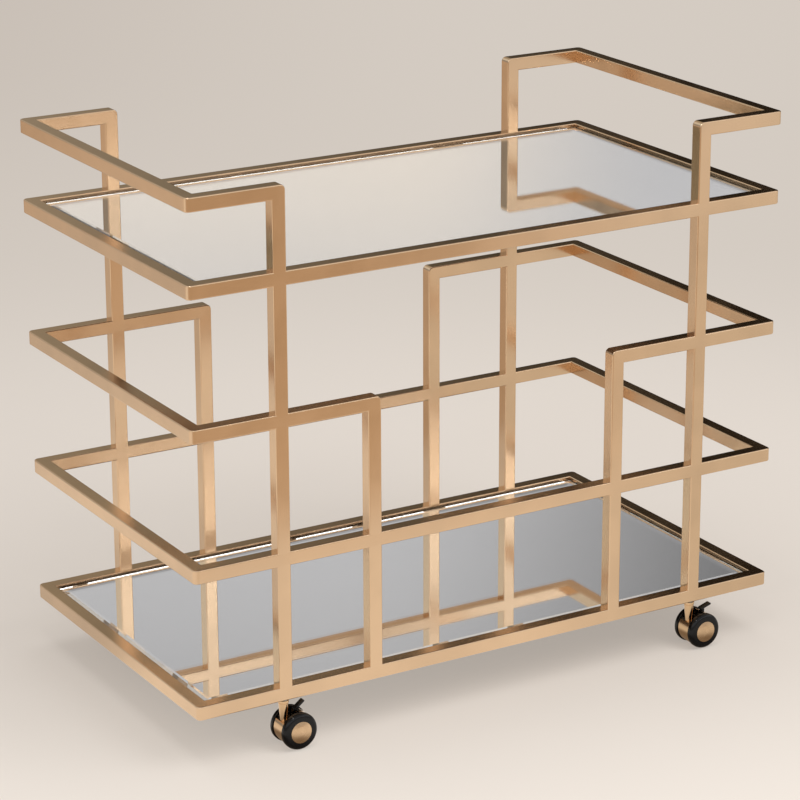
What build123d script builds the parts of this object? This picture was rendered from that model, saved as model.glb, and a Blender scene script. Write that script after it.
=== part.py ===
from build123d import *

import os
from math import atan2, cos, degrees, hypot, radians, sin

# Bar cart: a lattice of square tube, two mirror shelves and four twin-wheel casters.
# All sizes are in millimetres. +Z is up, +X runs along the cart and +Y points to its
# back. The origin is on the floor, under the middle of the frame.

# Overall sizes
frame_length = 914.0
frame_depth = 500.0
caster_height = 70.0
level_spacing = 188.5
handle_rise = 112.0

# Square tube
tube_size = 19.0
tube_wall = 1.2
tube_edge_radius = 1.6
least_bore_radius = 0.1
frame_corner_radius = 2.5

# Posts, from the middle of the cart to the centre of each post
outer_post_offset = 327.5
inner_post_offset = 191.0

# Shelves, measured down from the top of the rails
mirror_recess = 5.0
mirror_thickness = 5.0
mirror_play = 1.0
bevel_width = 12.7
bevel_drop = 0.8
backing_thickness = 3.0
ledge_width = 12.0
ledge_thickness = 2.0

# Threaded bush in the bottom rail, and the fixed stem that screws into it
bush_side_play = 1.3
thread_radius = 4.0
thread_setback = 2.8
stem_collar_radius = 6.4
stem_collar_thickness = 1.6
pin_radius = 3.0
pin_depth = 10.0
end_chamfer = 0.6

# Split ring that keeps the caster on its stem
ring_setback = 2.5
ring_thickness = 1.0
ring_groove_depth = 0.6
ring_overhang = 0.9
ring_play = 0.3

# Caster body
stem_setback = 9.3
drum_setback = 1.5
drum_width = 24.0
drum_edge_radius = 0.8
ledge_depth = 11.0
ledge_back = 4.0
ledge_corner_radius = 2.5
boss_foot_wall = 0.5
boss_flare = 2.2
boss_lip_height = 3.2
boss_lip_overhang = 0.6
boss_groove_height = 0.8
boss_groove_depth = 0.7
boss_floor = 2.0
swivel_play = 0.4
turning_clearance = 0.05
drum_skin = 2.4
drum_web = 5.0
hub_radius = 6.5
stem_column_wall = 2.3

# Wheels, axle and hub caps
wheel_radius = 25.5
wheel_width = 9.4
wheel_shoulder_radius = 5.6
wheel_inner_edge_radius = 1.0
wheel_side_play = 0.4
wheel_hub_radius = 7.5
wheel_hub_setback = 4.8
wheel_recess_depth = 2.6
wheel_rim_thickness = 4.6
axle_radius = 3.0
axle_stub = 1.1
axle_end_play = 0.3
retainer_radius = 5.2
retainer_thickness = 1.2
cap_radius = 15.0
cap_play = 0.05
cap_seat_depth = 2.2
cap_lip = 0.4
cap_rise = 2.8
cap_wall = 1.0

# Brake lever: its pivot below the top of the drum, and its bends seen from the pivot
pivot_forward = 8.0
pivot_depth = 9.0
trunnion_radius = 2.0
trunnion_half_length = 7.5
trunnion_end_play = 0.5
lever_hub_radius = 3.4
lever_arm_width = 4.0
lever_thickness = 6.0
lever_side_play = 0.4
lever_knee = (0.6, 11.6)
lever_heel = (-2.6, 12.6)
lever_reach = 12.0
lever_rail_gap = 10.8
paddle_thickness = 3.0
paddle_width = 7.0
slot_foot_play = 0.8
slot_back_play = 1.4
slot_swing_room = 4.0

# Brake lever positions as they stand: raised is free, level is pressed down
lever_lift = {"front_left": 20.0, "front_right": 0.0}

# Sizes that follow from those above
half_tube = tube_size / 2
tube_bore = tube_size - 2 * tube_wall
tube_bore_radius = max(tube_edge_radius - tube_wall, least_bore_radius)
corner_x = frame_length / 2 - half_tube
corner_y = frame_depth / 2 - half_tube
bottom_frame_z = caster_height + half_tube
lower_ring_z = bottom_frame_z + level_spacing
middle_loop_z = lower_ring_z + level_spacing
top_frame_z = middle_loop_z + level_spacing
handle_z = top_frame_z + handle_rise
shelf_length = frame_length - 2 * tube_size
shelf_depth = frame_depth - 2 * tube_size
bush_radius = tube_bore / 2 - bush_side_play
bush_height = tube_size - tube_wall
ring_groove_radius = pin_radius - ring_groove_depth
ring_radius = pin_radius + ring_overhang
boss_foot_radius = ring_radius + ring_play + boss_foot_wall
boss_top_radius = boss_foot_radius + boss_flare
boss_lip_radius = boss_top_radius + boss_lip_overhang
boss_groove_radius = boss_top_radius - boss_groove_depth
stem_column_radius = boss_foot_radius + stem_column_wall
drum_radius = wheel_radius - drum_setback
caster_trail = drum_radius - stem_setback
ledge_rise = drum_radius - ledge_depth
ledge_z = wheel_radius + ledge_rise
boss_top_z = caster_height - stem_collar_thickness - swivel_play
pin_end_z = ledge_z - pin_depth
ring_z = pin_end_z + ring_setback
wheel_start = drum_width / 2 + wheel_side_play
wheel_face = wheel_start + wheel_width
wheel_hub_face = wheel_face - wheel_hub_setback
axle_point = (caster_trail, 0, wheel_radius)
pivot_rise = drum_radius - pivot_depth
pivot_point = (caster_trail + pivot_forward, 0, wheel_radius + pivot_rise)

caster_places = {
    "front_left": (-outer_post_offset, -corner_y),
    "front_right": (outer_post_offset, -corner_y),
    "back_left": (-outer_post_offset, corner_y),
    "back_right": (outer_post_offset, corner_y),
}

os.makedirs("parts", exist_ok=True)


def save(piece, name):
    """Writes one finished piece as the node of that name."""
    piece.label = name
    export_step(piece, f"parts/{name}.step")


def save_group(pieces, name):
    """Writes several separate solids as one node."""
    save(Compound(children=list(pieces)), name)


def mitred_tubes(points, closed=False):
    """Square tubes along a path of centre-line points, mitred where the path turns."""
    corners = [Vector(point) for point in points]
    if closed:
        corners.append(corners[0])
    headings = [(end - start).normalized() for start, end in zip(corners, corners[1:])]
    tubes = []
    for i, heading in enumerate(headings):
        meets_before = i > 0 or closed
        meets_after = i < len(headings) - 1 or closed
        start = corners[i] - heading * (tube_size if meets_before else 0)
        end = corners[i + 1] + heading * (tube_size if meets_after else 0)
        side = (1, 0, 0) if heading.Z else (0, 0, 1)
        with BuildPart() as tube:
            with BuildSketch(Plane(origin=start, x_dir=side, z_dir=heading)):
                RectangleRounded(tube_size, tube_size, tube_edge_radius)
                RectangleRounded(tube_bore, tube_bore, tube_bore_radius, mode=Mode.SUBTRACT)
            extrude(amount=(end - start).length)
            if meets_before:
                mitre = Plane(origin=corners[i], z_dir=headings[i - 1] + heading)
                split(bisect_by=mitre, keep=Keep.TOP)
            if meets_after:
                after = headings[(i + 1) % len(headings)]
                mitre = Plane(origin=corners[i + 1], z_dir=heading + after)
                split(bisect_by=mitre, keep=Keep.BOTTOM)
        tubes.append(tube.part)
    return tubes


def post_piece(x, y, lower_z, upper_z):
    """A length of post between two rails, given by the heights of their centre lines."""
    ends = [(x, y, lower_z + half_tube), (x, y, upper_z - half_tube)]
    return mitred_tubes(ends)[0]


def rounded_at_corners(rails):
    """Rails cut back to the frame's outline, whose four corners are ground round."""
    rounded = []
    for rail in rails:
        with BuildPart() as ground:
            add(rail)
            with BuildSketch():
                RectangleRounded(frame_length, frame_depth, frame_corner_radius)
            extrude(amount=handle_z + tube_size, mode=Mode.INTERSECT)
        rounded.append(ground.part)
    return rounded


def ring_rails(z):
    """Front, right, back and left rails of a closed ring, mitred at its corners."""
    rails = mitred_tubes(
        [
            (-corner_x, -corner_y, z),
            (corner_x, -corner_y, z),
            (corner_x, corner_y, z),
            (-corner_x, corner_y, z),
        ],
        closed=True,
    )
    return rounded_at_corners(rails)


def open_loop(post_x, side, foot_z, z):
    """Two posts that turn into a loop of three rails round one end of the cart."""
    return mitred_tubes(
        [
            (post_x, -corner_y, foot_z + half_tube),
            (post_x, -corner_y, z),
            (side * corner_x, -corner_y, z),
            (side * corner_x, corner_y, z),
            (post_x, corner_y, z),
            (post_x, corner_y, foot_z + half_tube),
        ]
    )


def drilled_for_bushes(rail, y):
    """A bottom rail with a hole for each bush in its lower wall."""
    with BuildPart() as drilled:
        add(rail)
        with BuildSketch(Plane.XY.offset(caster_height)):
            with Locations((-outer_post_offset, y), (outer_post_offset, y)):
                Circle(bush_radius)
        extrude(amount=tube_wall, mode=Mode.SUBTRACT)
    return drilled.part


# Frame: three closed rings, two open loops, two handles and eight posts
for level, z in (("lower_ring", lower_ring_z), ("top_frame", top_frame_z)):
    for place, rail in zip(("front", "right", "back", "left"), ring_rails(z)):
        save(rail, f"{level}_{place}_rail")

front_rail, right_rail, back_rail, left_rail = ring_rails(bottom_frame_z)
save(drilled_for_bushes(front_rail, -corner_y), "bottom_frame_front_rail")
save(drilled_for_bushes(back_rail, corner_y), "bottom_frame_back_rail")
save(right_rail, "bottom_frame_right_rail")
save(left_rail, "bottom_frame_left_rail")

for end_name, side in (("left", -1), ("right", 1)):
    outer_x = side * outer_post_offset
    inner_x = side * inner_post_offset
    loop = open_loop(inner_x, side, lower_ring_z, middle_loop_z)
    handle = open_loop(outer_x, side, top_frame_z, handle_z)
    save_group(rounded_at_corners(loop[1:4]), f"{end_name}_middle_loop")
    save_group(rounded_at_corners(handle[1:4]), f"{end_name}_handle")
    for face_name, y, loop_post, handle_post in (
        ("front", -corner_y, loop[0], handle[0]),
        ("back", corner_y, loop[4], handle[4]),
    ):
        outer_post = [
            post_piece(outer_x, y, bottom_frame_z, lower_ring_z),
            post_piece(outer_x, y, lower_ring_z, middle_loop_z),
            post_piece(outer_x, y, middle_loop_z, top_frame_z),
            handle_post,
        ]
        inner_post = [post_piece(inner_x, y, bottom_frame_z, lower_ring_z), loop_post]
        save_group(outer_post, f"{face_name}_{end_name}_outer_post")
        save_group(inner_post, f"{face_name}_{end_name}_inner_post")


# Shelves: each a bevelled mirror on a backing board, carried by ledges in the frame
def shelf(name, frame_z):
    """A mirror, its board and its ledges, inside the frame whose rails have that height."""
    rail_top = frame_z + half_tube
    mirror_top = rail_top - mirror_recess
    mirror_foot = mirror_top - mirror_thickness
    board_foot = mirror_foot - backing_thickness
    panel_length = shelf_length - 2 * mirror_play
    panel_depth = shelf_depth - 2 * mirror_play

    with BuildPart() as mirror:
        with BuildSketch(Plane.XY.offset(mirror_foot)):
            Rectangle(panel_length, panel_depth)
        extrude(amount=mirror_thickness - bevel_drop)
        with BuildSketch(Plane.XY.offset(mirror_top - bevel_drop)):
            Rectangle(panel_length, panel_depth)
        with BuildSketch(Plane.XY.offset(mirror_top)):
            Rectangle(panel_length - 2 * bevel_width, panel_depth - 2 * bevel_width)
        loft()
    save(mirror.part, f"{name}_mirror")

    with BuildPart() as board:
        with BuildSketch(Plane.XY.offset(board_foot)):
            Rectangle(panel_length, panel_depth)
        extrude(amount=backing_thickness)
    save(board.part, f"{name}_backing_board")

    long_y = (shelf_depth - ledge_width) / 2
    short_x = (shelf_length - ledge_width) / 2
    strips = []
    for size, places in (
        ((shelf_length, ledge_width), [(0, -long_y), (0, long_y)]),
        ((ledge_width, shelf_depth - 2 * ledge_width), [(-short_x, 0), (short_x, 0)]),
    ):
        for place in places:
            with BuildPart() as strip:
                with BuildSketch(Plane.XY.offset(board_foot)):
                    with Locations(place):
                        Rectangle(*size)
                extrude(amount=-ledge_thickness)
            strips.append(strip.part)
    save_group(strips, f"{name}_ledges")


shelf("top_shelf", top_frame_z)
shelf("bottom_shelf", bottom_frame_z)


# Bushes and stems, drawn on the axis of one caster and repeated under each outer post
def at_each_caster(piece):
    """Copies of a piece drawn on the Z axis, one on the swivel axis of each caster."""
    return [piece.moved(Location((x, y, 0))) for x, y in caster_places.values()]


with BuildPart() as bush:
    with BuildSketch(Plane.XY.offset(caster_height)):
        Circle(bush_radius)
        Circle(thread_radius, mode=Mode.SUBTRACT)
    extrude(amount=bush_height)
save_group(at_each_caster(bush.part), "stem_bushes")

with BuildPart() as stem:
    collar_foot_z = caster_height - stem_collar_thickness
    thread_end_z = caster_height + bush_height - thread_setback
    with BuildSketch(Plane.XZ):
        with BuildLine():
            Polyline(
                (0, pin_end_z),
                (pin_radius - end_chamfer, pin_end_z),
                (pin_radius, pin_end_z + end_chamfer),
                (pin_radius, ring_z),
                (ring_groove_radius, ring_z),
                (ring_groove_radius, ring_z + ring_thickness),
                (pin_radius, ring_z + ring_thickness),
                (pin_radius, collar_foot_z),
                (stem_collar_radius, collar_foot_z),
                (stem_collar_radius, caster_height),
                (thread_radius, caster_height),
                (thread_radius, thread_end_z - end_chamfer),
                (thread_radius - end_chamfer, thread_end_z),
                (0, thread_end_z),
                close=True,
            )
        make_face()
    revolve(axis=Axis.Z)
save_group(at_each_caster(stem.part), "caster_stems")

with BuildPart() as split_ring:
    ring_opening = 2 * (ring_radius - ring_groove_radius)
    with BuildSketch(Plane.XY.offset(ring_z)):
        Circle(ring_radius)
        Circle(ring_groove_radius, mode=Mode.SUBTRACT)
        with Locations((-ring_radius, 0)):
            Rectangle(2 * ring_radius, ring_opening, mode=Mode.SUBTRACT)
    extrude(amount=ring_thickness)
save_group(at_each_caster(split_ring.part), "stem_split_rings")


def middle_plane():
    """Sketch plane between the wheels: x is forward of the axle and y is above it."""
    return Plane(origin=axle_point, x_dir=(1, 0, 0), z_dir=(0, -1, 0))


def caster_body(braked):
    """A drum between the wheels, cut back to a ledge that carries the boss."""
    well_past = 4 * drum_radius
    with BuildPart() as body:
        with BuildSketch(middle_plane()):
            Circle(drum_radius)
            with Locations((ledge_back - well_past / 2, ledge_rise + well_past / 2)):
                Rectangle(well_past, well_past, mode=Mode.SUBTRACT)
            inner_corner = vertices().sort_by_distance((ledge_back, ledge_rise))[0]
            fillet(inner_corner, ledge_corner_radius)
        extrude(amount=drum_width / 2, both=True)
        rim_edges = edges().filter_by(GeomType.CIRCLE).group_by(SortBy.RADIUS)[-1]
        fillet(rim_edges, drum_edge_radius)

        # Pockets on both sides, between the skin, the hub and the column round the stem
        for side in (-1, 1):
            with BuildSketch(middle_plane().offset(side * drum_width / 2)):
                Circle(drum_radius - drum_skin)
                Circle(hub_radius, mode=Mode.SUBTRACT)
                with Locations((-caster_trail, 0)):
                    Rectangle(2 * stem_column_radius, well_past, mode=Mode.SUBTRACT)
                with Locations((0, well_past / 2)):
                    Rectangle(well_past, well_past, mode=Mode.SUBTRACT)
            extrude(amount=-side * (drum_width - drum_web) / 2, mode=Mode.SUBTRACT)

        # Boss on the ledge, with a groove under its lip and a closed foot in the drum
        foot_z = pin_end_z - boss_floor
        groove_z = boss_top_z - boss_lip_height - boss_groove_height
        lip_z = groove_z + boss_groove_height
        with BuildSketch(Plane.XZ):
            with BuildLine():
                Polyline(
                    (0, foot_z),
                    (boss_foot_radius, foot_z),
                    (boss_foot_radius, ledge_z),
                    (boss_top_radius, groove_z),
                    (boss_groove_radius, groove_z),
                    (boss_groove_radius, lip_z),
                    (boss_lip_radius, lip_z),
                    (boss_lip_radius, boss_top_z),
                    (0, boss_top_z),
                    close=True,
                )
            make_face()
        revolve(axis=Axis.Z)

        # Bore for the pin, with room for the split ring
        bore_radius = pin_radius + turning_clearance
        room_radius = ring_radius + ring_play
        room_z = ring_z - ring_play
        room_top_z = ring_z + ring_thickness + ring_play
        with BuildSketch(Plane.XZ):
            with BuildLine():
                Polyline(
                    (0, pin_end_z - ring_play),
                    (bore_radius, pin_end_z - ring_play),
                    (bore_radius, room_z),
                    (room_radius, room_z),
                    (room_radius, room_top_z),
                    (bore_radius, room_top_z),
                    (bore_radius, boss_top_z),
                    (0, boss_top_z),
                    close=True,
                )
            make_face()
        revolve(axis=Axis.Z, mode=Mode.SUBTRACT)

        # Hole for the axle
        with BuildSketch(middle_plane()):
            Circle(axle_radius)
        extrude(amount=drum_width, both=True, mode=Mode.SUBTRACT)

        if braked:
            # Slot for the lever, open to the ledge and to the top, and holes for its trunnions
            front_x = pivot_forward - lever_hub_radius - slot_swing_room
            back_x = pivot_forward + lever_hub_radius + slot_back_play
            foot_y = pivot_rise - lever_hub_radius - slot_foot_play
            with BuildSketch(middle_plane()):
                with Locations((front_x, foot_y)):
                    Rectangle(back_x - front_x, well_past, align=Align.MIN)
            slot_half_width = lever_thickness / 2 + lever_side_play
            extrude(amount=slot_half_width, both=True, mode=Mode.SUBTRACT)
            with BuildSketch(middle_plane()):
                with Locations((pivot_forward, pivot_rise)):
                    Circle(trunnion_radius + turning_clearance)
            hole_depth = trunnion_half_length + trunnion_end_play
            extrude(amount=hole_depth, both=True, mode=Mode.SUBTRACT)
    return body.part


def axle():
    """A plain pin with a pressed-on retainer outside each wheel."""
    retainer_seat = wheel_hub_face + axle_end_play
    with BuildPart() as pin:
        with BuildSketch(middle_plane()):
            Circle(axle_radius)
        extrude(amount=retainer_seat + retainer_thickness + axle_stub, both=True)
        chamfer(edges().filter_by(GeomType.CIRCLE), end_chamfer)
    pieces = [pin.part]
    for side in (-1, 1):
        seat = (caster_trail, side * retainer_seat, wheel_radius)
        with BuildPart() as retainer:
            with BuildSketch(Plane(origin=seat, x_dir=(1, 0, 0), z_dir=(0, side, 0))):
                Circle(retainer_radius)
                Circle(axle_radius, mode=Mode.SUBTRACT)
            extrude(amount=retainer_thickness)
        pieces.append(retainer.part)
    return pieces


def axle_profile_plane(side):
    """Sketch plane through the axle: x is the way out along it and y is the radius."""
    return Plane(origin=axle_point, x_dir=(0, side, 0), z_dir=(side, 0, 0))


def wheel(side):
    """A wheel with a round outer shoulder, a recess inside and a seat for its cap."""
    bore_radius = axle_radius + turning_clearance
    seat_radius = cap_radius + cap_play
    seat = wheel_face - cap_seat_depth
    recess = wheel_start + wheel_recess_depth
    rim_inside = wheel_radius - wheel_rim_thickness
    with BuildPart() as rim:
        with BuildSketch(axle_profile_plane(side)):
            with BuildLine():
                outline = Polyline(
                    (wheel_start, wheel_radius - wheel_inner_edge_radius),
                    (wheel_start, rim_inside),
                    (recess, rim_inside - wheel_inner_edge_radius),
                    (recess, wheel_hub_radius),
                    (wheel_start, wheel_hub_radius),
                    (wheel_start, bore_radius),
                    (wheel_hub_face, bore_radius),
                    (wheel_hub_face, wheel_hub_radius),
                    (seat, wheel_hub_radius + wheel_inner_edge_radius),
                    (seat, seat_radius),
                    (wheel_face, seat_radius),
                    (wheel_face, wheel_radius - wheel_shoulder_radius),
                )
                shoulder = RadiusArc(
                    outline @ 1,
                    (wheel_face - wheel_shoulder_radius, wheel_radius),
                    -wheel_shoulder_radius,
                )
                tread_end = (wheel_start + wheel_inner_edge_radius, wheel_radius)
                Line(shoulder @ 1, tread_end)
                RadiusArc(tread_end, outline @ 0, -wheel_inner_edge_radius)
            make_face()
        revolve(axis=Axis(axle_point, (0, 1, 0)))
    return rim.part


def dome_arc(rim, crown):
    """An arc from a rim point to the crown on the axis, square to the axis there."""
    rise = crown - rim[0]
    radius = (rim[1] ** 2 + rise**2) / (2 * rise)
    centre = crown - radius
    half_turn = atan2(rim[1], rim[0] - centre) / 2
    middle = (centre + radius * cos(half_turn), radius * sin(half_turn))
    return ThreePointArc(rim, middle, (crown, 0))


def hub_cap(side):
    """A thin dome with a skirt that presses into the wheel."""
    skirt_foot = wheel_face - cap_seat_depth
    skirt_top = wheel_face + cap_lip
    inner_radius = cap_radius - cap_wall
    with BuildPart() as cap:
        with BuildSketch(axle_profile_plane(side)):
            with BuildLine():
                Line((skirt_foot, inner_radius), (skirt_foot, cap_radius))
                Line((skirt_foot, cap_radius), (skirt_top, cap_radius))
                dome_arc((skirt_top, cap_radius), skirt_top + cap_rise)
                Line((skirt_top + cap_rise, 0), (skirt_top + cap_rise - cap_wall, 0))
                dome_arc((skirt_top, inner_radius), skirt_top + cap_rise - cap_wall)
                Line((skirt_top, inner_radius), (skirt_foot, inner_radius))
            make_face()
        revolve(axis=Axis(axle_point, (0, 1, 0)))
    return cap.part


def bar_between(start, end, width):
    """A round-ended bar in the sketch, from one point to another."""
    run = (end[0] - start[0], end[1] - start[1])
    with Locations(((start[0] + end[0]) / 2, (start[1] + end[1]) / 2)):
        SlotCenterToCenter(hypot(*run), width, rotation=degrees(atan2(run[1], run[0])))


def brake_lever(lift):
    """A moulded lever on two trunnions, turned up from its pressed place by the lift."""
    turned = (cos(radians(lift)), 0, sin(radians(lift)))
    lever_plane = Plane(origin=pivot_point, x_dir=turned, z_dir=(0, -1, 0))
    tip_z = caster_height - lever_rail_gap - paddle_thickness / 2
    lever_tip = (lever_reach, tip_z - pivot_point[2])
    with BuildPart() as lever:
        with BuildSketch(lever_plane):
            Circle(lever_hub_radius)
            bar_between((0, 0), lever_knee, lever_arm_width)
        extrude(amount=lever_thickness / 2, both=True)
        with BuildSketch(lever_plane):
            bar_between(lever_heel, lever_tip, paddle_thickness)
        extrude(amount=paddle_width / 2, both=True)
        with BuildSketch(lever_plane):
            Circle(trunnion_radius)
        extrude(amount=trunnion_half_length, both=True)
    return lever.part


for corner, (x, y) in caster_places.items():
    place = Location((x, y, 0))
    braked = corner in lever_lift
    save(caster_body(braked).moved(place), f"{corner}_caster_body")
    save_group([piece.moved(place) for piece in axle()], f"{corner}_axle")
    for face_name, side in (("front", -1), ("back", 1)):
        save(wheel(side).moved(place), f"{corner}_wheel_{face_name}")
        save(hub_cap(side).moved(place), f"{corner}_cap_{face_name}")
    if braked:
        save(brake_lever(lever_lift[corner]).moved(place), f"{corner}_brake_lever")
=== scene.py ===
from math import cos, radians, sin

import bmesh
import bpy
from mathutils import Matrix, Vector


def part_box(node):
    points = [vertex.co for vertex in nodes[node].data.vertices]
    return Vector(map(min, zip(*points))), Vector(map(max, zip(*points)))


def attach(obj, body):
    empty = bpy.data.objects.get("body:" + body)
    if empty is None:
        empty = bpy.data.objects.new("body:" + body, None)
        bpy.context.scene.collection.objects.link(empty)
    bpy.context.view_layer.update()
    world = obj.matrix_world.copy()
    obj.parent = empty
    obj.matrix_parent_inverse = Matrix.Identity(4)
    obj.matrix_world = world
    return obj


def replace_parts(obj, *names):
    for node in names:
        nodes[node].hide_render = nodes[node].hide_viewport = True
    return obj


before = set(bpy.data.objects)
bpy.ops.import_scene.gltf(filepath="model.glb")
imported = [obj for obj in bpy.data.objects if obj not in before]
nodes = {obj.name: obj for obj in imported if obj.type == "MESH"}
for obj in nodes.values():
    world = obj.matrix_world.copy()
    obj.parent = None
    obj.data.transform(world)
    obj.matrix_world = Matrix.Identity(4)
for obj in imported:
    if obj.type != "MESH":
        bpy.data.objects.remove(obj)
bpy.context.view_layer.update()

# Bar cart: satin brass lattice, bevelled mirror shelves and twin-wheel casters, in a pale studio.
# Metres throughout. The frame's nodes keep their places, and the new pieces take theirs from them.
# Colours are linear.

scene = bpy.context.scene
scene.view_settings.view_transform = "Standard"

# Camera, from the straight lines of the frame in the photograph: angles in radians, lens in mm
CAMERA_PLACE = Vector((-2.0448, -3.4519, 1.6990))
CAMERA_YAW = 0.5447
CAMERA_PITCH = 0.3069
CAMERA_LENS = 135.68
CAMERA_SENSOR = 36.0
CAMERA_SHIFT = (-0.04, -0.06)

# Square tube, with its edges rounded and the outside of its turns ground round
HALF_TUBE = 0.0095
TUBE_EDGE = 0.0016
EDGE_STEPS = 6
TURN_RADIUS = 0.007
TURN_STEPS = 8

# Centre lines of the rails round a level
RAIL_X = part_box("top_frame_right_rail")[1][0] - HALF_TUBE
RAIL_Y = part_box("top_frame_back_rail")[1][1] - HALF_TUBE

# Sockets of a Mix node that mixes colours
MIX_FACTOR, MIX_FIRST, MIX_SECOND = 0, 6, 7
MIX_RESULT = 2


def grey(value):
    return (value, value, value)


def scaled(colour, factor):
    return tuple(channel * factor for channel in colour)


# Shader helpers
def node_tree(owner):
    """The emptied node tree of a material or a world."""
    owner.use_nodes = True
    owner.node_tree.nodes.clear()
    return owner.node_tree


def add(tree, kind, inputs=None, **settings):
    """A new shader node with its settings. Each input is a value, or a socket to link from."""
    made = tree.nodes.new(kind)
    for key, value in settings.items():
        setattr(made, key, value)
    for key, value in (inputs or {}).items():
        socket = made.inputs[key]
        if isinstance(value, bpy.types.NodeSocket):
            tree.links.new(value, socket)
        elif socket.type == "RGBA":
            socket.default_value = (*value, 1.0)
        else:
            socket.default_value = value
    return made


def maths(tree, operation, *values):
    return add(tree, "ShaderNodeMath", dict(enumerate(values)), operation=operation).outputs[0]


def vector_maths(tree, operation, *values):
    """The vector that an operation gives, or the number where it measures one."""
    made = add(tree, "ShaderNodeVectorMath", dict(enumerate(values)), operation=operation)
    return made.outputs["Value" if operation in ("LENGTH", "DISTANCE") else "Vector"]


def both(tree, first, second):
    """A mask that is 1 only where two masks are."""
    return maths(tree, "MULTIPLY", first, second)


def combined(tree, first, second, first_share, second_share):
    """Two numbers added up in their shares."""
    first_part = maths(tree, "MULTIPLY", first, first_share)
    return maths(tree, "ADD", first_part, maths(tree, "MULTIPLY", second, second_share))


def smooth(tree, value, low, high, to_low=0.0, to_high=1.0):
    """Goes smoothly from to_low to to_high while the value goes from low to high."""
    inputs = {"Value": value, "From Min": low, "From Max": high, "To Min": to_low, "To Max": to_high}
    made = add(tree, "ShaderNodeMapRange", inputs, interpolation_type="SMOOTHSTEP")
    return made.outputs["Result"]


def noise(tree, place, scale, detail=2.0):
    inputs = {"Vector": place, "Scale": scale, "Detail": detail}
    return add(tree, "ShaderNodeTexNoise", inputs).outputs["Fac"]


def bump(tree, height, strength, distance):
    inputs = {"Strength": strength, "Distance": distance, "Height": height}
    return add(tree, "ShaderNodeBump", inputs).outputs["Normal"]


def mix_colour(tree, factor, first, second):
    inputs = {MIX_FACTOR: factor, MIX_FIRST: first, MIX_SECOND: second}
    return add(tree, "ShaderNodeMix", inputs, data_type="RGBA").outputs[MIX_RESULT]


def layered(tree, colour, *layers):
    """A colour with others laid over it in turn, each by its own mask."""
    for mask, over in layers:
        colour = mix_colour(tree, mask, colour, over)
    return colour


def mix_shader(tree, factor, first, second):
    return add(tree, "ShaderNodeMixShader", {0: factor, 1: first, 2: second}).outputs[0]


def emission(tree, colour):
    return add(tree, "ShaderNodeEmission", {"Color": colour, "Strength": 1.0}).outputs[0]


def principled(tree, inputs):
    shader = add(tree, "ShaderNodeBsdfPrincipled", inputs)
    add(tree, "ShaderNodeOutputMaterial", {"Surface": shader.outputs[0]})


def seen_in_metal_or_glass(tree, path):
    return maths(tree, "MAXIMUM", path["Is Glossy Ray"], path["Is Transmission Ray"])


# World: one sky for the mirrors, another for the satin metal, and plain light for the rest.
# Elevations and bearings are in degrees. A bearing of 0 is behind the cart, 90 past its right end.
BACKDROP = (0.66, 0.60, 0.54)
PLAIN_LIGHT = grey(0.55)

MIRROR_BACKDROP = (0.60, 0.585, 0.59)
MIRROR_BACKDROP_LOW_LEFT = (0.92, 0.82, 0.715)
MIRROR_BACKDROP_HIGH = grey(0.10)
MIRROR_BACKDROP_HIGH_RIGHT = grey(0.07)
MIRROR_LEFT_LOW = (0.25, 0.22, 0.16)
MIRROR_LEFT_HIGH = (0.84, 0.81, 0.73)
MIRROR_FRONT_LOW = (0.72, 0.56, 0.40)
MIRROR_FRONT_HIGH = (1.08, 0.97, 0.86)
MIRROR_FRONT_CORNER = grey(0.02)
MIRROR_CEILING = (0.50, 0.48, 0.46)

METAL_BACKDROP = (0.41, 0.375, 0.30)
METAL_BACKDROP_RIGHT = (0.012, 0.008, 0.004)
METAL_LEFT_LOW = grey(0.33)
METAL_LEFT_HIGH = (0.78, 0.80, 0.78)
METAL_FRONT_LOW = (0.52, 0.49, 0.46)
METAL_FRONT_HIGH = grey(1.12)
METAL_CEILING = (0.62, 0.59, 0.56)


def room_masks(tree, elevation, bearing):
    """Where the left wall, the room in front of the cart and the ceiling are."""
    left = smooth(tree, bearing, 5, -25)
    front = maths(tree, "MAXIMUM", smooth(tree, bearing, 70, 100), smooth(tree, bearing, -55, -80))
    ceiling = smooth(tree, elevation, 38, 50)
    return left, front, ceiling


def mirror_sky(tree, elevation, bearing):
    """A lit backdrop, warm low on the left, which fades upwards and, higher up, to the right. The
    wall in front is brighter higher up, and ends in a dark corner."""
    left, front, ceiling = room_masks(tree, elevation, bearing)
    low_left = both(tree, smooth(tree, elevation, 20, 12), smooth(tree, bearing, 36, 30.5))
    high_right = both(tree, smooth(tree, bearing, 29, 42), smooth(tree, elevation, 15, 21))
    left_wall = mix_colour(tree, smooth(tree, elevation, 16, 20), MIRROR_LEFT_LOW, MIRROR_LEFT_HIGH)
    front_wall = layered(
        tree,
        MIRROR_FRONT_LOW,
        (smooth(tree, elevation, 12.5, 17), MIRROR_FRONT_HIGH),
        (smooth(tree, elevation, 23.5, 27), MIRROR_FRONT_CORNER),
    )
    return layered(
        tree,
        MIRROR_BACKDROP,
        (low_left, MIRROR_BACKDROP_LOW_LEFT),
        (smooth(tree, elevation, 18, 36), MIRROR_BACKDROP_HIGH),
        (high_right, MIRROR_BACKDROP_HIGH_RIGHT),
        (left, left_wall),
        (front, front_wall),
        (ceiling, MIRROR_CEILING),
    )


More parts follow.
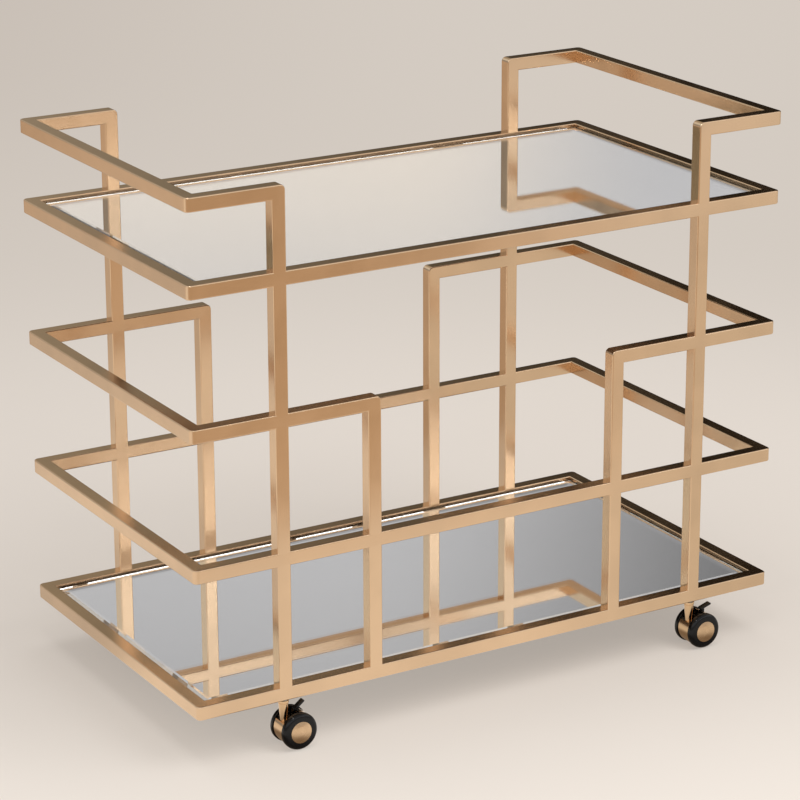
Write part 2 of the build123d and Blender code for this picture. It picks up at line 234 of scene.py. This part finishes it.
def metal_sky(tree, elevation, bearing):
    """Little light behind the cart on the right, more high on the left, and most high in front."""
    left, front, ceiling = room_masks(tree, elevation, bearing)
    left_wall = mix_colour(tree, smooth(tree, elevation, 16, 21), METAL_LEFT_LOW, METAL_LEFT_HIGH)
    front_wall = mix_colour(tree, smooth(tree, elevation, 10, 26), METAL_FRONT_LOW, METAL_FRONT_HIGH)
    return layered(
        tree,
        METAL_BACKDROP,
        (smooth(tree, bearing, 16, 38), METAL_BACKDROP_RIGHT),
        (left, left_wall),
        (front, front_wall),
        (ceiling, METAL_CEILING),
    )


def make_world():
    world = bpy.data.worlds.new("studio")
    scene.world = world
    tree = node_tree(world)
    direction = add(tree, "ShaderNodeTexCoord").outputs["Generated"]
    parts = add(tree, "ShaderNodeSeparateXYZ", {0: direction}).outputs
    elevation = maths(tree, "DEGREES", maths(tree, "ARCSINE", parts["Z"]))
    bearing = maths(tree, "DEGREES", maths(tree, "ARCTAN2", parts["X"], parts["Y"]))

    # A ray is singular after perfectly sharp surfaces only, which are the mirrors
    path = add(tree, "ShaderNodeLightPath").outputs
    for_metal, for_mirrors = (sky(tree, elevation, bearing) for sky in (metal_sky, mirror_sky))
    reflected = mix_colour(tree, path["Is Singular Ray"], for_metal, for_mirrors)
    colour = layered(
        tree,
        PLAIN_LIGHT,
        (seen_in_metal_or_glass(tree, path), reflected),
        (path["Is Camera Ray"], BACKDROP),
    )
    background = add(tree, "ShaderNodeBackground", {"Color": colour, "Strength": 1.0})
    add(tree, "ShaderNodeOutputWorld", {"Surface": background.outputs[0]})


# Floor: plain for the camera, with the cart's shadow, and for metal and mirrors a glow in several tones,
# with painted shade behind the cart and painted shadow round the casters
FLOOR_RADIUS = 30.0
FLOOR_SIDES = 96
FLOOR_ALBEDO = (0.73, 0.665, 0.605)
SHADOW_SHARE = 0.42

SEEN_NEAR = (0.86, 0.79, 0.715)
SEEN_FAR_LEFT = (0.58, 0.52, 0.465)

MIRRORED_CLOSE = (0.90, 0.84, 0.76)
MIRRORED_RIGHT = (0.71, 0.66, 0.58)
MIRRORED_FRONT = (0.60, 0.465, 0.335)
MIRRORED_FAR_FRONT = (0.53, 0.40, 0.28)
MIRRORED_FRONT_RIGHT = (0.80, 0.755, 0.70)
# Painted shade behind the cart, lighter again far behind
MIRRORED_BEHIND = (0.60, 0.55, 0.49)
MIRRORED_FAR_BEHIND = (0.67, 0.60, 0.51)
MIRRORED_BEHIND_LEFT = (0.70, 0.585, 0.475)
MIRRORED_BEHIND_RIGHT = (0.50, 0.39, 0.29)
# Painted shade in an oval behind the cart, and a painted shadow round each caster
MIRRORED_SHADE = (0.61, 0.57, 0.52)
MIRRORED_CASTER_SHADOW = (0.24, 0.19, 0.14)

# Half-axes of the oval painted shade behind the cart, and the middle of the painted shadow round a caster
SHADE_X, SHADE_Y = 0.75, 0.35
CASTER_SHADOW_MIDDLE = (0.335, RAIL_Y, 0.0)


def seen_floor(tree, x, y):
    """What the camera sees: brighter towards the front, darker far off to the left."""
    depth = combined(tree, x, y, sin(CAMERA_YAW), cos(CAMERA_YAW))
    across = combined(tree, x, y, cos(CAMERA_YAW), -sin(CAMERA_YAW))
    far_left = both(tree, smooth(tree, depth, 0.6, 4.0), smooth(tree, across, 0.3, -1.6))
    return layered(
        tree,
        BACKDROP,
        (smooth(tree, depth, 0.1, -0.7), SEEN_NEAR),
        (far_left, SEEN_FAR_LEFT),
    )


def mirrored_floor(tree, place, x, y):
    """What metal and mirrors see, a painted glow: bright close by, warmer and darker towards the camera's
    side and behind the cart's right end, with painted shade behind the cart and a painted shadow close
    round each caster."""
    slant = maths(tree, "DIVIDE", x, y)
    right = smooth(tree, combined(tree, x, y, 1.0, 0.7), -0.15, 0.20)
    front = both(tree, smooth(tree, y, -0.90, -1.08), smooth(tree, slant, -0.90, -0.35))
    front_tone = mix_colour(tree, smooth(tree, y, -1.6, -1.95), MIRRORED_FRONT, MIRRORED_FAR_FRONT)
    front_right = both(tree, smooth(tree, y, -1.95, -2.25), smooth(tree, slant, -0.52, -0.68))
    behind_left = both(tree, smooth(tree, x, -1.56, -1.68), smooth(tree, y, 1.3, 1.8))
    past_end = smooth(tree, combined(tree, x, y, 1.0, 0.63), 0.04, 0.34)
    behind_right = both(tree, past_end, smooth(tree, y, 0.2, 0.6))
    to_shade = (1 / SHADE_X, 1 / SHADE_Y, 0.0)
    from_shade = vector_maths(tree, "MULTIPLY_ADD", place, to_shade, (0.0, -1.0, 0.0))
    shade = smooth(tree, vector_maths(tree, "LENGTH", from_shade), 1.2, 0.7)
    from_caster = vector_maths(tree, "DISTANCE", vector_maths(tree, "ABSOLUTE", place), CASTER_SHADOW_MIDDLE)
    return layered(
        tree,
        MIRRORED_CLOSE,
        (right, MIRRORED_RIGHT),
        (front, front_tone),
        (front_right, MIRRORED_FRONT_RIGHT),
        # Painted shade behind the cart, lighter again far behind
        (smooth(tree, y, 0.3, 1.8), MIRRORED_BEHIND),
        (smooth(tree, y, 2.3, 3.0), MIRRORED_FAR_BEHIND),
        (behind_left, MIRRORED_BEHIND_LEFT),
        (behind_right, MIRRORED_BEHIND_RIGHT),
        # Painted shade in an oval behind the cart, and a painted shadow round each caster
        (shade, MIRRORED_SHADE),
        (smooth(tree, from_caster, 0.10, 0.04), MIRRORED_CASTER_SHADOW),
    )


def floor_material():
    material = bpy.data.materials.new("studio_floor")
    tree = node_tree(material)
    place = add(tree, "ShaderNodeTexCoord").outputs["Object"]
    parts = add(tree, "ShaderNodeSeparateXYZ", {0: place}).outputs
    x, y = parts["X"], parts["Y"]
    lit = add(tree, "ShaderNodeBsdfDiffuse", {"Color": FLOOR_ALBEDO}).outputs[0]

    # Near the cart the camera sees some of the lit floor, which has the shadow
    plain_share = smooth(tree, vector_maths(tree, "LENGTH", place), 1.0, 2.4, 1.0 - SHADOW_SHARE, 1.0)
    for_camera = mix_shader(tree, plain_share, lit, emission(tree, seen_floor(tree, x, y)))
    path = add(tree, "ShaderNodeLightPath").outputs
    direct = mix_shader(tree, path["Is Camera Ray"], lit, for_camera)
    glow = emission(tree, mirrored_floor(tree, place, x, y))
    surface = mix_shader(tree, seen_in_metal_or_glass(tree, path), direct, glow)
    add(tree, "ShaderNodeOutputMaterial", {"Surface": surface})
    return material


def new_object(name, shape, *materials):
    mesh = bpy.data.meshes.new(name)
    shape.to_mesh(mesh)
    shape.free()
    for material in materials:
        mesh.materials.append(material)
    made = bpy.data.objects.new(name, mesh)
    scene.collection.objects.link(made)
    return made


def make_floor():
    shape = bmesh.new()
    bmesh.ops.create_circle(shape, cap_ends=True, segments=FLOOR_SIDES, radius=FLOOR_RADIUS)
    floor = new_object("studio_floor", shape, floor_material())


# Lamps and camera
def look(thing, direction):
    """Turns a lamp or camera to look along a direction."""
    thing.rotation_euler = direction.to_track_quat("-Z", "Y").to_euler()


def area_light(name, place, target, size, power, in_gloss=False):
    data = bpy.data.lights.new(name, "AREA")
    data.shape = "RECTANGLE"
    data.size, data.size_y = size
    data.energy = power
    lamp = bpy.data.objects.new(name, data)
    lamp.location = place
    look(lamp, Vector(target) - Vector(place))
    lamp.visible_glossy = in_gloss
    lamp.visible_transmission = in_gloss
    scene.collection.objects.link(lamp)


def make_lights():
    area_light("key", place=(1.6, -2.2, 3.2), target=(0, 0, 0.3), size=(2.4, 2.4), power=82)
    area_light("overhead", place=(0, 0.2, 3.4), target=(0, 0, 0), size=(3.0, 3.0), power=60)
    area_light("glint", (-1.0, -1.2, 2.6), (0, 0, 0), size=(0.35, 0.35), power=5, in_gloss=True)
    # A strip at the camera's height and distance, mirrored to the right. The back bevels of both
    # mirrors send it to the camera along their whole length.
    strip_place = (-CAMERA_PLACE.x, CAMERA_PLACE.y, CAMERA_PLACE.z)
    strip_target = (-CAMERA_PLACE.x, 0, CAMERA_PLACE.z)
    area_light("strip", strip_place, strip_target, size=(2.2, 0.08), power=1.6, in_gloss=True)


def make_camera():
    data = bpy.data.cameras.new("camera")
    data.sensor_width = CAMERA_SENSOR
    data.lens = CAMERA_LENS
    data.shift_x, data.shift_y = CAMERA_SHIFT
    camera = bpy.data.objects.new("camera", data)
    camera.location = CAMERA_PLACE
    level = cos(CAMERA_PITCH)
    look(camera, Vector((sin(CAMERA_YAW) * level, cos(CAMERA_YAW) * level, -sin(CAMERA_PITCH))))
    scene.collection.objects.link(camera)
    scene.camera = camera


# Materials
BRASS = (0.79, 0.565, 0.373)
CAST_BRASS = (0.74, 0.51, 0.31)
SPUN_BRASS = (0.76, 0.53, 0.33)
ZINC = (0.6, 0.6, 0.58)
WHEEL_BLACK = (0.0025, 0.0025, 0.003)
LEVER_BLACK = (0.005, 0.005, 0.0055)
HARDBOARD = (0.10, 0.065, 0.04)

# How much of the metal's tone is its grain, and how far that tone goes to either side
GRAIN_SHARE = 0.3
TONE_SPREAD = 0.05

# Keeps a tangent from vanishing where the scratches run straight at the surface
TANGENT_NUDGE = (0.01, 0.02, 0.015)


def mottled(tree, grain, cloud, colour, smoothest, roughest):
    """Metal's inputs, whose colour and roughness change a little with its grain and slow clouds."""
    tone = combined(tree, grain, cloud, GRAIN_SHARE, 1.0 - GRAIN_SHARE)
    dark, light = scaled(colour, 1.0 - TONE_SPREAD), scaled(colour, 1.0 + TONE_SPREAD)
    base = mix_colour(tree, smooth(tree, tone, 0.35, 0.65), dark, light)
    rough = smooth(tree, tone, 0.3, 0.7, smoothest, roughest)
    return {"Base Color": base, "Metallic": 1.0, "Roughness": rough}


def on_end_rail(tree, place):
    """1 on the rail across a loop's or handle's end, 0 on the rails along the front and back."""
    parts = add(tree, "ShaderNodeSeparateXYZ", {0: place}).outputs
    over_x = maths(tree, "SUBTRACT", maths(tree, "ABSOLUTE", parts["X"]), RAIL_X)
    over_y = maths(tree, "SUBTRACT", maths(tree, "ABSOLUTE", parts["Y"]), RAIL_Y)
    return maths(tree, "GREATER_THAN", over_x, over_y)


def brushed_metal(name, along=None, roughness=0.19, colour=BRASS, fine=2600.0, long=40.0):
    """Satin metal, scratched finely along X, Y, Z or a LOOP's own rails, or only grained."""
    material = bpy.data.materials.new(name)
    tree = node_tree(material)
    place = add(tree, "ShaderNodeTexCoord").outputs["Object"]
    axes = {letter: tuple(float(letter == each) for each in "XYZ") for letter in "XYZ"}
    if along == "LOOP":
        axis = mix_colour(tree, on_end_rail(tree, place), axes["X"], axes["Y"])
    else:
        axis = axes.get(along, (0.0, 0.0, 0.0))
    stretch = vector_maths(tree, "MULTIPLY_ADD", axis, grey(long - fine), grey(fine))
    grain = noise(tree, vector_maths(tree, "MULTIPLY", place, stretch), 1.0, detail=3.0)
    cloud = noise(tree, place, 14.0)
    inputs = mottled(tree, grain, cloud, colour, roughness - 0.03, roughness + 0.04)
    inputs["Normal"] = bump(tree, grain, strength=0.02, distance=0.0001)
    if along:
        normal = add(tree, "ShaderNodeNewGeometry").outputs["True Normal"]
        across = vector_maths(tree, "CROSS_PRODUCT", normal, axis)
        inputs["Anisotropic"] = 0.4
        inputs["Tangent"] = vector_maths(tree, "ADD", across, TANGENT_NUDGE)
    principled(tree, inputs)
    return material


def spun_brass(name, colour, roughness):
    """Brass turned about Y, with fine rings round the middle of the piece."""
    material = bpy.data.materials.new(name)
    tree = node_tree(material)
    place = add(tree, "ShaderNodeTexCoord").outputs
    outward, middle = (1.0, 0.0, 1.0), (-0.5, 0.0, -0.5)
    from_middle = vector_maths(tree, "MULTIPLY_ADD", place["Generated"], outward, middle)
    ring_inputs = {"W": vector_maths(tree, "LENGTH", from_middle), "Scale": 70.0, "Detail": 3.0}
    rings = add(tree, "ShaderNodeTexNoise", ring_inputs, noise_dimensions="1D").outputs["Fac"]
    cloud = noise(tree, place["Object"], 90.0)
    inputs = mottled(tree, rings, cloud, colour, roughness - 0.03, roughness + 0.05)
    inputs["Normal"] = bump(tree, rings, strength=0.05, distance=0.0001)
    inputs["Anisotropic"] = 0.8
    inputs["Tangent"] = add(tree, "ShaderNodeTangent", direction_type="RADIAL", axis="Y").outputs[0]
    principled(tree, inputs)
    return material


def moulded(name, colour, roughness, grain_scale=900.0, grain_strength=0.05, specular=0.5):
    """Plastic or board, with a fine grain and a slightly cloudy colour."""
    material = bpy.data.materials.new(name)
    tree = node_tree(material)
    place = add(tree, "ShaderNodeTexCoord").outputs["Object"]
    grain = noise(tree, place, grain_scale)
    cloud = noise(tree, place, 60.0, detail=3.0)
    inputs = {
        "Base Color": mix_colour(tree, cloud, colour, scaled(colour, 1.7)),
        "Roughness": smooth(tree, cloud, 0.3, 0.7, roughness * 0.85, roughness * 1.2),
        "Specular IOR Level": specular,
        "Normal": bump(tree, grain, grain_strength, distance=0.0002),
    }
    principled(tree, inputs)
    return material


def polished(name, cloud_scale, first, second, inputs):
    """A perfectly smooth material, whose colour drifts between two near ones."""
    material = bpy.data.materials.new(name)
    tree = node_tree(material)
    place = add(tree, "ShaderNodeTexCoord").outputs["Object"]
    base = mix_colour(tree, noise(tree, place, cloud_scale), first, second)
    principled(tree, {"Base Color": base, "Roughness": 0.0, **inputs})
    return material


def silvering():
    return polished("silvering", 6.0, (0.93, 0.935, 0.935), (0.90, 0.908, 0.908), {"Metallic": 1.0})


def clear_glass():
    inputs = {"IOR": 1.5, "Transmission Weight": 1.0}
    return polished("mirror_glass", 9.0, (0.988, 0.993, 0.992), (0.979, 0.987, 0.985), inputs)


# Mirrors: clear glass with a wide polished bevel, silvered on its back, just above the board
SILVER_LIFT = 0.00015
ARRIS = 0.0004
LEVEL_TOLERANCE = 0.00015


def bevelled_mirror(node, glass, silver):
    low, high = (Vector(corner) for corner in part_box(node))
    solid = [vertex.co for vertex in nodes[node].data.vertices]
    bevel_width = min(point.x for point in solid if high.z - point.z < LEVEL_TOLERANCE) - low.x
    bevel_edge = sorted({round(point.z, 5) for point in solid})[-2]
    shape = bmesh.new()

    def ring(inset, z):
        corners = (
            (low.x + inset, low.y + inset),
            (high.x - inset, low.y + inset),
            (high.x - inset, high.y - inset),
            (low.x + inset, high.y - inset),
        )
        return [shape.verts.new((x, y, z)) for x, y in corners]

    rings = [
        ring(ARRIS, low.z + SILVER_LIFT),
        ring(0.0, low.z + SILVER_LIFT + ARRIS),
        ring(0.0, bevel_edge - ARRIS),
        ring(ARRIS, bevel_edge),
        ring(bevel_width, high.z),
    ]
    back = shape.faces.new(reversed(rings[0]))
    back.material_index = 1
    for below, above in zip(rings, rings[1:]):
        for i in range(4):
            j = (i + 1) % 4
            shape.faces.new((below[i], below[j], above[j], above[i]))
    shape.faces.new(rings[-1])
    piece = new_object(node + "_glass", shape, glass, silver)
    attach(piece, "frame")
    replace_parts(piece, node)


# Frame: square tubes, mitred at the corners
def tube_outline(first, second):
    """Offsets of a tube's rounded-square outline, which lies along two unit vectors."""
    flat = HALF_TUBE - TUBE_EDGE
    outline = []
    for corner in range(4):
        flat_first = flat if corner in (0, 3) else -flat
        flat_second = flat if corner in (0, 1) else -flat
        for step in range(EDGE_STEPS + 1):
            turn = radians(90.0 * (corner + step / EDGE_STEPS))
            along_first = first * (flat_first + TUBE_EDGE * cos(turn))
            along_second = second * (flat_second + TUBE_EDGE * sin(turn))
            outline.append(along_first + along_second)
    return outline


def tube_end(corner, ahead, outside, offset):
    """Where one edge line of a tube ends: square, or mitred and rounded on the turn's outside."""
    if outside is None:
        return [corner + offset]
    reach = offset.dot(outside)
    radius = TURN_RADIUS - HALF_TUBE + reach
    if radius <= 0.0:
        return [corner + offset + ahead * reach]
    inset = HALF_TUBE - TURN_RADIUS
    middle = corner + offset + outside * (inset - reach) + ahead * inset
    turns = [radians(45.0 * step / TURN_STEPS) for step in range(TURN_STEPS, -1, -1)]
    return [middle + (outside * cos(turn) + ahead * sin(turn)) * radius for turn in turns]


def add_tube(shape, start, end, outside_start, outside_end):
    """Adds a tube's faces: one on each mitre or square end, and strips from end to end."""
    heading = (end - start).normalized()
    upright = abs(heading.z) > 0.5
    side = Vector((1.0, 0.0, 0.0)) if upright else Vector((0.0, 0.0, 1.0))
    outline = tube_outline(side, heading.cross(side))

    def end_lines(corner, ahead, outside):
        return [
            [shape.verts.new(point) for point in tube_end(corner, ahead, outside, offset)]
            for offset in outline
        ]

    firsts = end_lines(start, -heading, outside_start)
    lasts = end_lines(end, heading, outside_end)
    for lines in (firsts, lasts):
        shape.faces.new([line[0] for line in lines])
    for i in range(len(outline)):
        j = (i + 1) % len(outline)
        middle = []
        for here, there in ((firsts[i], firsts[j]), (lasts[j], lasts[i])):
            if len(here) == len(there):
                for k in range(len(here) - 1):
                    shape.faces.new((here[k], here[k + 1], there[k + 1], there[k]))
                middle.append((here[-1:], there[-1:]))
            else:
                middle.append((here, there))
        (first_i, first_j), (last_j, last_i) = middle
        shape.faces.new([*first_i, *reversed(last_i), *last_j, *reversed(first_j)])


def frame_piece(name, shape, material):
    bmesh.ops.recalc_face_normals(shape, faces=shape.faces)
    piece = new_object(name, shape, material)
    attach(piece, "frame")
    return piece


def tube_runs(points, closed=False):
    """The tubes along a path: where each starts and ends, and the outer side of its turns."""
    corners = [Vector(point) for point in points]
    if closed:
        corners.append(corners[0])
    headings = [(end - start).normalized() for start, end in zip(corners, corners[1:])]
    runs = []
    for i in range(len(headings)):
        before = headings[i - 1] if closed or i > 0 else None
        after = -headings[(i + 1) % len(headings)] if closed or i < len(headings) - 1 else None
        runs.append((corners[i], corners[i + 1], before, after))
    return runs


def crossed_rails(post):
    """The rails that a post stands on, passes and meets, from the bottom up."""
    face, side, which, _ = post.split("_")
    rails = [f"bottom_frame_{face}_rail", f"lower_ring_{face}_rail"]
    if which == "outer":
        rails += [f"{side}_middle_loop", f"top_frame_{face}_rail"]
    return rails


def frame_runs():
    """The tubes of every rail, loop, handle and post, under their nodes' names."""
    runs = {}
    for ring in ("bottom_frame", "lower_ring", "top_frame"):
        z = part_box(f"{ring}_front_rail")[1][2] - HALF_TUBE
        corners = [(-RAIL_X, -RAIL_Y, z), (RAIL_X, -RAIL_Y, z), (RAIL_X, RAIL_Y, z), (-RAIL_X, RAIL_Y, z)]
        for place, run in zip(("front", "right", "back", "left"), tube_runs(corners, closed=True)):
            runs[f"{ring}_{place}_rail"] = [run]
    for side, end_x in (("left", -RAIL_X), ("right", RAIL_X)):
        for kind, which in (("middle_loop", "inner"), ("handle", "outer")):
            front_post, back_post = (f"{face}_{side}_{which}_post" for face in ("front", "back"))
            post_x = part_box(front_post)[0][0] + HALF_TUBE
            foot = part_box(crossed_rails(front_post)[-1])[1][2]
            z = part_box(f"{side}_{kind}")[1][2] - HALF_TUBE
            path = [(post_x, -RAIL_Y, foot), (post_x, -RAIL_Y, z), (end_x, -RAIL_Y, z)]
            path += [(x, -y, height) for x, y, height in reversed(path)]
            turned = tube_runs(path)
            runs[f"{side}_{kind}"] = turned[1:4]
            for post, y, top_run in ((front_post, -RAIL_Y, turned[0]), (back_post, RAIL_Y, turned[4])):
                rails = crossed_rails(post)
                runs[post] = [top_run]
                for below, above in zip(rails, rails[1:]):
                    start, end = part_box(below)[1][2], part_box(above)[0][2]
                    runs[post].append((Vector((post_x, y, start)), Vector((post_x, y, end)), None, None))
    return runs


def scratch_direction(name):
    if name.endswith(("front_rail", "back_rail")):
        return "X"
    if name.endswith(("left_rail", "right_rail")):
        return "Y"
    return "Z" if name.endswith("post") else "LOOP"


def make_tubes(brushed):
    for name, runs in frame_runs().items():
        shape = bmesh.new()
        for run in runs:
            add_tube(shape, *run)
        material = brushed[scratch_direction(name)]
        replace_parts(frame_piece(name + "_tube", shape, material), name)


def make_joint_fillers(material):
    """Braze metal where a post meets a rail: it fills the rail's rounded edge, flush with both."""
    shape = bmesh.new()
    for post in nodes:
        if not post.endswith("_post"):
            continue
        low, high = (Vector(corner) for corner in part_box(post))
        x, y = (low.x + high.x) / 2, (low.y + high.y) / 2
        rails = crossed_rails(post)
        edges = [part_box(rails[0])[1][2] - TUBE_EDGE]
        for rail in rails[1:]:
            underside, upside = (corner[2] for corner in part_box(rail))
            edges += [underside, upside - TUBE_EDGE]
        for z in edges:
            add_tube(shape, Vector((x, y, z)), Vector((x, y, z + TUBE_EDGE)), None, None)
    frame_piece("joint_fillers", shape, material)


def dress_nodes(brushed):
    """Gives the nodes that nothing replaces their materials, each by a part of its name."""
    finishes = {
        "_ledges": brushed["X"],
        "_board": moulded("hardboard", HARDBOARD, 0.7, grain_scale=1200.0, grain_strength=0.3),
        "_cap_": spun_brass("brass_spun", SPUN_BRASS, 0.24),
        "_caster_body": brushed_metal("brass_cast", None, 0.15, CAST_BRASS, fine=700.0),
        "_wheel_": moulded("wheel_black", WHEEL_BLACK, 0.11, grain_strength=0.02, specular=0.3),
        "_lever": moulded("lever_black", LEVER_BLACK, 0.25, specular=0.3),
    }
    steel = brushed_metal("zinc_steel", None, 0.3, ZINC, fine=900.0)
    for name, node in nodes.items():
        if name.endswith(("_rail", "_loop", "_handle", "_post", "_mirror")):
            continue
        finish = next((finishes[part] for part in finishes if part in name), steel)
        node.data.materials.clear()
        node.data.materials.append(finish)


def make_cart():
    directions = ("X", "Y", "Z", "LOOP")
    brushed = {along: brushed_metal(f"brass_along_{along.lower()}", along) for along in directions}
    make_tubes(brushed)
    dress_nodes(brushed)
    glass, silver = clear_glass(), silvering()
    for shelf in ("top_shelf", "bottom_shelf"):
        bevelled_mirror(f"{shelf}_mirror", glass, silver)
    make_joint_fillers(brushed["Z"])


make_world()
make_floor()
make_lights()
make_camera()
make_cart()
